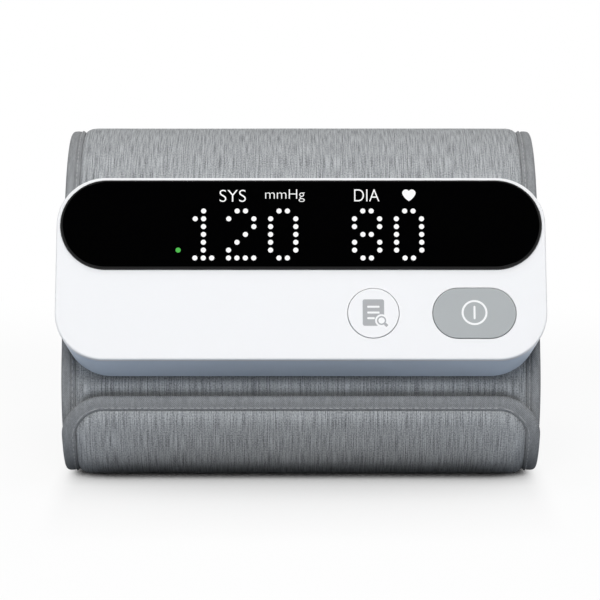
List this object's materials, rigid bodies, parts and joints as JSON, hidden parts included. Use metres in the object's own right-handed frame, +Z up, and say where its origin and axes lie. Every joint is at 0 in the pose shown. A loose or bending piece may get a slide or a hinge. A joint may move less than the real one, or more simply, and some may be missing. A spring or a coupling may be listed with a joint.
{
  "type": "blood pressure monitor",
  "caption": "Upper-arm blood pressure monitor: a flat white case with a black dot-matrix display and press buttons, fixed on a rolled grey padded fabric cuff that stands by itself.",
  "frame": {"origin": "middle of the flat underside that the rolled cuff stands on", "axes": "+X to the user's right along the case, +Y away from the user, +Z up; the case's face looks along -Y and up"},
  "size_m": [0.1448, 0.1508, 0.1046],
  "materials": {
    "cuff_cloth": "grey melange knitted cloth",
    "edge_tape": "flat woven grey binding tape",
    "lining_cloth": "smooth dark grey woven lining",
    "hook_tape": "dark hook tape",
    "bladder_rubber": "smooth matt sheet",
    "curl_plastic": "clear springy sheet",
    "white_shell": "fine-textured white moulding",
    "grey_key": "satin grey moulding",
    "slate_shell": "satin blue-grey moulding",
    "black_lens": "polished smoked panel",
    "tape_black": "double-sided tape",
    "mask_black": "dull black moulding",
    "led_white": "moulded light emitters",
    "board_green": "printed circuit board",
    "chip_black": "moulded chip bodies",
    "plunger_plastic": "small moulded plungers",
    "plated_steel": "plated steel",
    "ferrite": "dark sintered magnet",
    "copper_winding": "varnished winding",
    "bush_bronze": "sintered bush",
    "cell_foil": "foil pouch",
    "works_plastic": "natural moulding",
    "hose_rubber": "soft silicone"
  },
  "bodies": {
    "monitor": {"wrap_panel": "cuff_cloth", "side_tape_left": "edge_tape", "side_tape_right": "edge_tape", "inner_end_tape": "edge_tape", "wrap_lining": "lining_cloth", "hook_pad": "hook_tape", "air_bladder": "bladder_rubber", "bladder_nipple": "bladder_rubber", "curl_sheet": "curl_plastic", "front_cover": "white_shell", "rear_housing": "slate_shell", "display_lens": "black_lens", "lens_tape": "tape_black", "battery_tape": "tape_black", "led_mask": "mask_black", "led_chips": "led_white", "led_board": "board_green", "main_board": "board_green", "board_chips": "chip_black", "start_switch": "chip_black", "memory_switch": "chip_black", "pressure_sensor": "chip_black", "case_screws": "plated_steel", "mount_screws": "plated_steel", "motor_can": "plated_steel", "valve_frame": "plated_steel", "valve_spring": "plated_steel", "charging_socket": "plated_steel", "motor_magnets": "ferrite", "valve_coil": "copper_winding", "motor_bushes": "bush_bronze", "battery_cell": "cell_foil", "motor_end_cap": "works_plastic", "pump_head_case": "works_plastic", "pump_rocker": "works_plastic", "pump_valve_plate": "works_plastic", "pump_lid": "works_plastic", "air_block": "works_plastic", "valve_cap": "works_plastic", "mount_plate": "works_plastic", "pump_hose": "hose_rubber", "valve_hose": "hose_rubber", "pump_grommets": "hose_rubber", "pump_diaphragm": "hose_rubber"},
    "start_key": {"start_button": "grey_key", "start_switch_plunger": "plunger_plastic"},
    "memory_key": {"memory_button": "white_shell", "memory_switch_plunger": "plunger_plastic"},
    "cuff_flap": {"flap_panel": "cuff_cloth", "flap_tape": "edge_tape", "flap_hook_pad": "hook_tape"},
    "pump_rotor": {"motor_shaft": "plated_steel", "rotor_core": "plated_steel", "pump_crank": "works_plastic"},
    "valve_plunger": {"valve_armature": "plated_steel"}
  },
  "joints": [
    {"name": "start_press", "type": "slide", "parent": "monitor", "child": "start_key", "axis": [0, 0.9336, -0.3584], "range_m": [0, 0.0004], "stiffness_N_per_m": 2500},
    {"name": "memory_press", "type": "slide", "parent": "monitor", "child": "memory_key", "axis": [0, 0.9336, -0.3584], "range_m": [0, 0.0004], "stiffness_N_per_m": 2500},
    {"name": "flap_peel", "type": "hinge", "parent": "monitor", "child": "cuff_flap", "pos_m": [0, -0.04609, 0.00686], "axis": [1, 0, 0], "range_deg": [0, 70]},
    {"name": "pump_spin", "type": "hinge", "parent": "monitor", "child": "pump_rotor", "pos_m": [-0.0663, -0.05808, 0.04953], "axis": [1, 0, 0], "continuous": true},
    {"name": "valve_close", "type": "slide", "parent": "monitor", "child": "valve_plunger", "axis": [-1, 0, 0], "range_m": [0, 0.0005], "stiffness_N_per_m": 200, "deforming": ["valve_spring"]}
  ]
}
